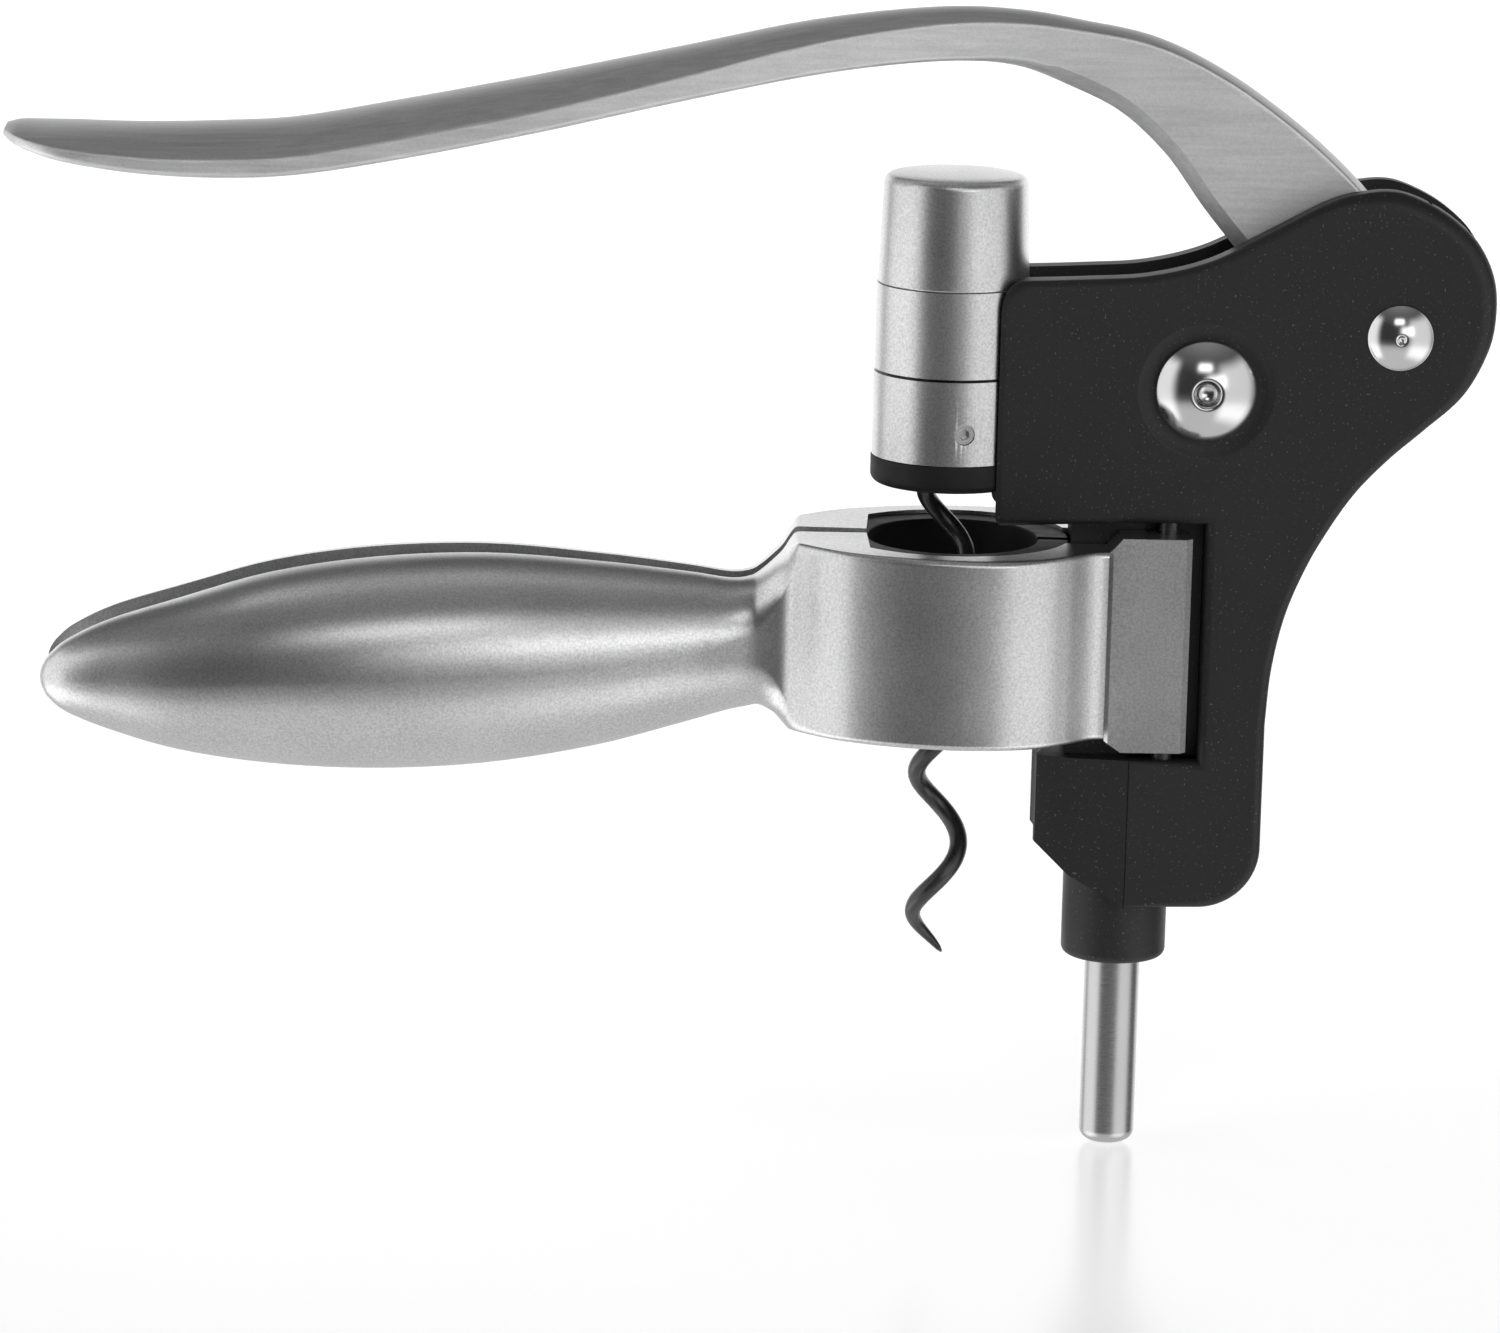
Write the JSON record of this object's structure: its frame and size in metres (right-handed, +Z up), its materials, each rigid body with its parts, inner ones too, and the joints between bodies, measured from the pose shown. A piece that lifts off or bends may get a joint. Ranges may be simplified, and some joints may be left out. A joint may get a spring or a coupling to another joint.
{
  "type": "lever corkscrew",
  "caption": "Upright lever corkscrew: two clamp handles grip the bottle's neck while a long top lever slides the worm down and up on a guide rod.",
  "frame": {"origin": "On the worm's axis, at the level of the clamp collar's bottom face.", "axes": "+X runs back from the worm's axis towards the lever's axle, +Z runs up along the worm, and +Y points away from the front side, across the middle plane."},
  "size_m": [0.2131, 0.0456, 0.1663],
  "materials": {
    "satin_alloy": "satin nickel plating over a zinc casting",
    "satin_steel": "satin stainless steel",
    "polished_steel": "polished stainless steel",
    "black_body": "soft-touch matt black with a very fine speckle",
    "black_nylon": "moulded black nylon",
    "black_coating": "black non-stick coating on steel",
    "bronze": "sintered bronze"
  },
  "bodies": {
    "body": {"frame": "black_body", "side_shell_near": "black_body", "side_shell_far": "black_body", "rod_bush_lower": "black_nylon", "rod_bush_upper": "black_nylon", "lever_axle": "polished_steel", "axle_washers": "black_nylon", "cover_screws": "polished_steel", "hinge_pin_near": "black_coating", "hinge_pin_far": "black_coating"},
    "lever": {"lever": "satin_alloy", "drive_pin": "satin_steel"},
    "carriage": {"carriage": "satin_alloy", "worm_cap": "satin_alloy", "guide_rod": "satin_steel", "rod_pin": "satin_steel", "thrust_washer": "bronze", "thrust_ball": "polished_steel"},
    "worm": {"worm": "black_coating", "worm_chuck": "satin_steel"},
    "nut": {"nut_ring": "satin_alloy", "nut_disc": "black_nylon", "nut_insert": "bronze", "grub_screw": "satin_steel"},
    "clamp_near": {"handle_near": "satin_alloy", "liner_near": "black_nylon"},
    "clamp_far": {"handle_far": "satin_alloy", "liner_far": "black_nylon"}
  },
  "joints": [
    {"name": "lever_swing", "type": "hinge", "parent": "body", "child": "lever", "pos_m": [0.0635, 0, 0.059], "axis": [0, 1, 0], "range_deg": [0, 120]},
    {"name": "carriage_slide", "type": "slide", "parent": "body", "child": "carriage", "axis": [0, 0, 1], "range_m": [0, 0.0503]},
    {"name": "nut_slide", "type": "slide", "parent": "body", "child": "nut", "axis": [0, 0, 1], "range_m": [0, 0.0503]},
    {"name": "worm_spin", "type": "hinge", "parent": "carriage", "child": "worm", "pos_m": [0, 0, 0], "axis": [0, 0, 1], "continuous": true},
    {"name": "clamp_near_swing", "type": "hinge", "parent": "body", "child": "clamp_near", "pos_m": [0.0318, -0.0072, 0], "axis": [0, 0, 1], "range_deg": [-2, 20]},
    {"name": "clamp_far_swing", "type": "hinge", "parent": "body", "child": "clamp_far", "pos_m": [0.0318, 0.0072, 0], "axis": [0, 0, -1], "range_deg": [-2, 20]}
  ],
  "couplings": [
    {"joint": "carriage_slide", "follows": "lever_swing", "m_per_rad": 0.023983},
    {"joint": "nut_slide", "follows": "lever_swing", "m_per_rad": 0.023983}
  ]
}
